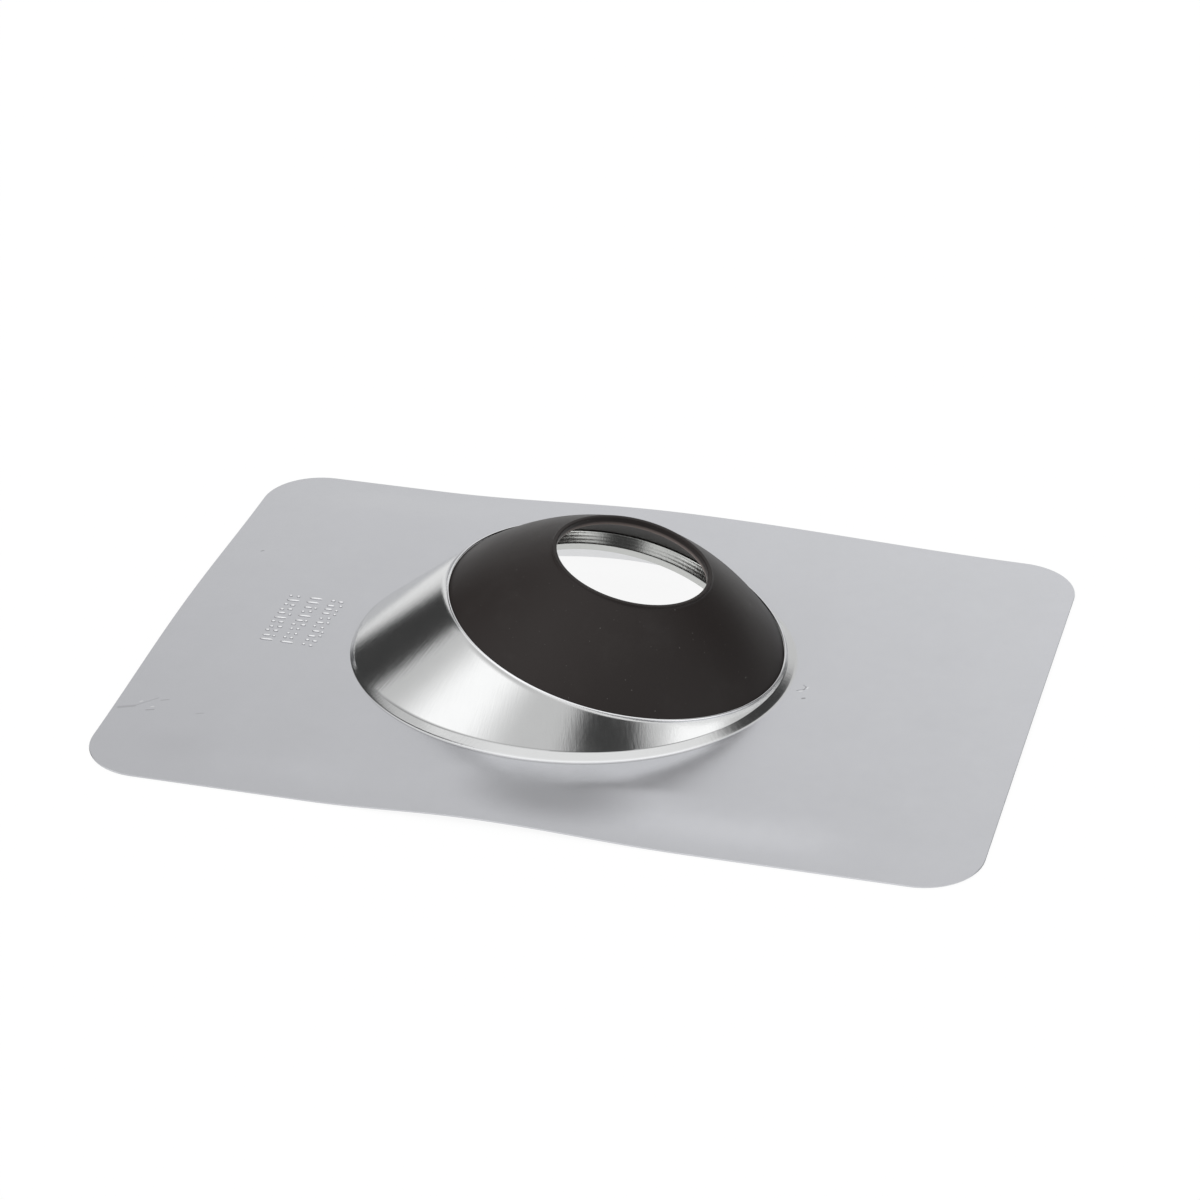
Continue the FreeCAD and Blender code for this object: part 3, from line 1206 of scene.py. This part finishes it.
@dataclass(frozen=True)
class StudioCard:
    """A curved card round the object, seen only in reflections. Angles are in degrees; lean moves its top."""

    name: str
    glow: Glow
    azimuth: Pair
    elevation: Pair
    softness: float = 0.25
    lean: float = 0.0
    distance: float = 2.0
    columns: int = 24
    rows: int = 12

    def build(self) -> bpy.types.Object:
        """Make the card.

        Returns:
            The new object.
        """
        up_share, across_share = np.mgrid[0 : 1 : (self.rows + 1) * 1j, 0 : 1 : (self.columns + 1) * 1j]
        across, up = across_share.ravel(), up_share.ravel()
        rises = np.interp(up, (0.0, 1.0), self.elevation)
        azimuths = np.interp(across, (0.0, 1.0), self.azimuth) + self.lean * up
        points = [direction(turn, rise) * self.distance for turn, rise in zip(azimuths, rises)]
        obj = new_object(self.name, points, lattice(self.rows, self.columns))
        store(obj, "spread", np.column_stack([across, up, np.zeros_like(up)]))
        for ray in ("camera", "diffuse", "shadow", "transmission"):
            setattr(obj, f"visible_{ray}", False)
        obj.data.materials.append(self._material())
        return obj

    def _material(self) -> bpy.types.Material:
        """The card's even glow, fading out at its edges.

        Returns:
            The new material.
        """
        material, shader = new_material(self.name)
        across, up, _ = shader.split(shader.attribute("spread", "Vector"))
        glow = shader.node("ShaderNodeEmission", inputs={"Color": grey(1.0), "Strength": self.glow.value})
        surface = glow
        if self.softness > 0:
            low, high = self.softness, 1.0 - self.softness
            share = across.ramp(0.0, low) * across.ramp(1.0, high) * up.ramp(0.0, low) * up.ramp(1.0, high)
            clear = shader.node("ShaderNodeBsdfTransparent")
            surface = shader.node("ShaderNodeMixShader", inputs={0: share, 1: clear, 2: glow})
        shader.add("ShaderNodeOutputMaterial", inputs={"Surface": surface})
        return material


@dataclass
class Studio:
    """Floor, world, lamps and cards."""

    floor_size: float = 40.0
    floor_drop: float = 0.0002
    floor_glow: float = 0.9
    floor_gloss: float = 0.64
    floor_tone: float = 0.25
    ambient: float = 0.72
    surroundings: float = 0.68
    key_strength: float = 1.25
    key_angle: float = 50.0
    key_direction: Triple = (-0.5, -0.55, 1.0)
    cards: tuple[StudioCard, ...] = (
        StudioCard("card_left_back", Glow.DARK, (-133.5, -91.0), (-8.0, 46.0), 0.2, lean=-9.0, distance=1.7),
        StudioCard("card_left_upper", Glow.DARK, (-136.0, -108.0), (36.0, 66.0), 0.3, distance=1.65),
        StudioCard("card_left", Glow.BRIGHT, (-90.0, -20.0), (10.0, 50.0), 0.4, distance=1.8),
        StudioCard("card_front", Glow.DARK, (-9.0, 44.0), (-8.0, 36.0), 0.3, lean=10.0, distance=1.7),
        StudioCard("card_right", Glow.BRIGHT, (47.0, 97.0), (-12.0, 30.0), 0.33, distance=1.8),
        StudioCard("card_back", Glow.DARK, (107.0, 161.0), (0.0, 60.0), 0.18, distance=1.7),
        StudioCard("card_high", Glow.BRIGHT, (-82.0, 4.0), (46.0, 82.0), 0.25, distance=1.9),
        StudioCard("card_sky", Glow.SKY, (-180.0, 180.0), (54.0, 90.0), 0.0, distance=2.0),
    )

    def build(self) -> None:
        """Make the whole studio."""
        self._floor()
        self._world()
        self._key()
        for card in self.cards:
            card.build()

    def _floor(self) -> None:
        """A plain pale floor that keeps the object's shadow."""
        half = self.floor_size / 2
        corners = [(-half, -half), (half, -half), (half, half), (-half, half)]
        obj = new_object("floor", [(x, y, -self.floor_drop) for x, y in corners], [(0, 1, 2, 3)])
        material, shader = new_material("floor")
        camera, glossy, glass = self._rays(shader)
        seen = (camera + glass).clamped()
        level = seen * self.floor_glow + glossy * self.floor_gloss
        plain = shader.node("ShaderNodeBsdfDiffuse", inputs={"Color": grey(1.0 - self.floor_glow)})
        matt = shader.node("ShaderNodeBsdfDiffuse", inputs={"Color": grey(self.floor_tone)})
        tone = shader.node("ShaderNodeMixShader", inputs={0: seen, 1: matt, 2: plain})
        glow = shader.node("ShaderNodeEmission", inputs={"Color": grey(1.0), "Strength": level})
        surface = shader.node("ShaderNodeAddShader", inputs={0: tone, 1: glow})
        shader.add("ShaderNodeOutputMaterial", inputs={"Surface": surface})
        obj.data.materials.append(material)

    @staticmethod
    def _rays(shader: Shader) -> tuple[Value, Value, Value]:
        """The rays that show the background: the camera's, and those of gloss and of glass.

        Args:
            shader: the tree to add to.

        Returns:
            Three values, each 1 for its kind of ray.
        """
        path = shader.add("ShaderNodeLightPath")
        names = ("Is Camera Ray", "Is Glossy Ray", "Is Transmission Ray")
        camera, glossy, glass = (Value(shader, path.outputs[name]) for name in names)
        return camera, glossy, glass

    def _world(self) -> None:
        """A white background, plain pale surroundings for gloss, and a plain level for light."""
        world = bpy.data.worlds.new("studio")
        world.use_nodes = True
        bpy.context.scene.world = world
        shader = Shader(world.node_tree)
        camera, glossy, glass = self._rays(shader)
        white = (camera + glass).clamped()
        strength = self.ambient + white * (1.0 - self.ambient) + glossy * (self.surroundings - self.ambient)
        background = shader.node("ShaderNodeBackground", inputs={"Color": grey(1.0), "Strength": strength})
        shader.add("ShaderNodeOutputWorld", inputs={"Surface": background})

    def _key(self) -> None:
        """One broad soft lamp from the upper left, which shapes the matt surfaces."""
        lamp = bpy.data.lights.new("key", "SUN")
        lamp.energy = self.key_strength
        lamp.angle = math.radians(self.key_angle)
        obj = bpy.data.objects.new("key", lamp)
        obj.rotation_euler = Vector(self.key_direction).to_track_quat("Z", "Y").to_euler()
        obj.visible_glossy = False
        bpy.context.scene.collection.objects.link(obj)


@dataclass
class Viewpoint:
    """The camera. Lengths are millimetres, but for the clip's metres, and angles are degrees."""

    azimuth: float = 14.99
    elevation: float = 29.31
    roll: float = -0.14
    distance: float = 1529.3
    aim: Triple = (-11.4, 46.3, 0.57)
    lens: float = 123.46
    sensor: float = 36.0
    clip: Pair = (0.05, 100.0)

    def build(self) -> bpy.types.Object:
        """Make the camera and set it as the scene's.

        Returns:
            The camera.
        """
        data = bpy.data.cameras.new("camera")
        data.lens = self.lens
        data.sensor_width = self.sensor
        data.clip_start, data.clip_end = self.clip
        obj = bpy.data.objects.new("camera", data)
        back = direction(self.azimuth, self.elevation)
        facing = back.to_track_quat("Z", "Y").to_matrix().to_4x4()
        place = Matrix.Translation((Vector(self.aim) + back * self.distance) * MM)
        obj.matrix_world = place @ facing @ Matrix.Rotation(math.radians(self.roll), 4, "Z")
        bpy.context.scene.collection.objects.link(obj)
        bpy.context.scene.camera = obj
        return obj


def plain(box: Iterable[Iterable[float]]) -> list[list[float]]:
    """A box as plain lists of numbers."""
    return [[float(value) for value in corner] for corner in box]


def main() -> None:
    """Build the object's pieces, the studio and the camera."""
    logging.basicConfig(level=logging.INFO, format="%(message)s")
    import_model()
    base = FlashingBase()
    for piece in (base, StampedRows(base), BackingRing(), PipeCollar()):
        obj = piece.build()
        log.info("%s: %d faces", obj.name, len(obj.data.polygons))
    Studio().build()
    Viewpoint().build()
    bpy.context.scene.view_settings.view_transform = "Standard"


if __name__ == "__main__":
    main()
